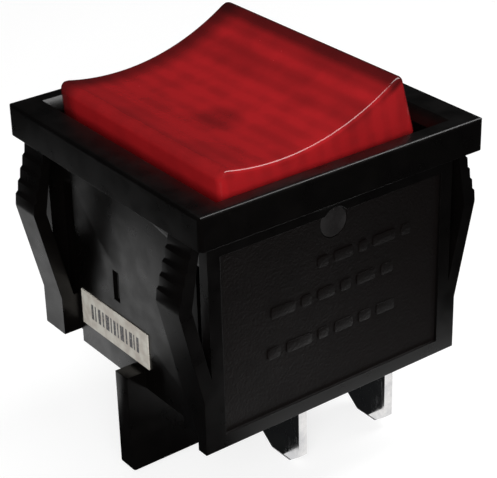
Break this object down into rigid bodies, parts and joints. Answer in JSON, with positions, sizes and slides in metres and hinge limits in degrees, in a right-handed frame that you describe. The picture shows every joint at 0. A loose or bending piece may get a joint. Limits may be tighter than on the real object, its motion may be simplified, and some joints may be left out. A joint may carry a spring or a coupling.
{
  "type": "panel rocker switch",
  "caption": "Illuminated two-pole rocker switch with a square black bezel, red translucent rocker, snap-in latch arms and blade terminals.",
  "frame": {"origin": "centre of the bezel's underside, in the plane of the panel's face", "axes": "+Z out of the panel towards the user, X along the rocking direction with the raised end of the rocker at +X, Y across it"},
  "size_m": [0.0276, 0.0252, 0.0328],
  "materials": {
    "black_plastic": "moulded nylon, satin gloss",
    "red_lens": "translucent, polished",
    "carrier_plastic": "moulded",
    "lamp_glass": "clear neon bulb",
    "resistor_body": "lacquered",
    "lead_wire": "tinned copper",
    "plunger_brass": "turned",
    "spring_steel": "drawn wire",
    "copper_strip": "pressed strip",
    "silver_button": "silver alloy",
    "tinned_tab": "tin plated, pressed",
    "label_paper": "matt, blank"
  },
  "bodies": {
    "base": {"housing": "black_plastic", "fixed_button_a": "silver_button", "fixed_button_b": "silver_button", "common_terminal_a": "tinned_tab", "common_terminal_b": "tinned_tab", "load_terminal_a": "tinned_tab", "load_terminal_b": "tinned_tab", "rating_label": "label_paper"},
    "rocker": {"rocker_lens": "red_lens", "rocker_carrier": "carrier_plastic", "neon_lamp": "lamp_glass", "lamp_resistor": "resistor_body", "lamp_lead": "lead_wire", "link_lead": "lead_wire", "resistor_lead": "lead_wire", "plunger_spring_a": "spring_steel", "plunger_spring_b": "spring_steel"},
    "plunger_a": {"plunger_a": "plunger_brass"},
    "plunger_b": {"plunger_b": "plunger_brass"},
    "contact_a": {"contact_arm_a": "copper_strip", "moving_button_a": "silver_button"},
    "contact_b": {"contact_arm_b": "copper_strip", "moving_button_b": "silver_button"}
  },
  "joints": [
    {"name": "rocker_hinge", "type": "hinge", "parent": "base", "child": "rocker", "pos_m": [0, 0, -0.0025], "axis": [0, 1, 0], "range_deg": [0, 20]},
    {"name": "plunger_a_slide", "type": "slide", "parent": "rocker", "child": "plunger_a", "axis": [-0.1736, 0, 0.9848], "range_m": [0, 0.0006], "stiffness_N_per_m": 600, "deforming": ["plunger_spring_a"]},
    {"name": "plunger_b_slide", "type": "slide", "parent": "rocker", "child": "plunger_b", "axis": [-0.1736, 0, 0.9848], "range_m": [0, 0.0006], "stiffness_N_per_m": 600, "deforming": ["plunger_spring_b"]},
    {"name": "contact_a_rock", "type": "hinge", "parent": "base", "child": "contact_a", "pos_m": [0, 0.00465, -0.01301], "axis": [0, 1, 0], "range_deg": [-12, 0]},
    {"name": "contact_b_rock", "type": "hinge", "parent": "base", "child": "contact_b", "pos_m": [0, -0.00465, -0.01301], "axis": [0, 1, 0], "range_deg": [-12, 0]}
  ],
  "couplings": [
    {"joint": "contact_a_rock", "follows": "rocker_hinge", "ratio": -0.6},
    {"joint": "contact_b_rock", "follows": "rocker_hinge", "ratio": -0.6}
  ]
}
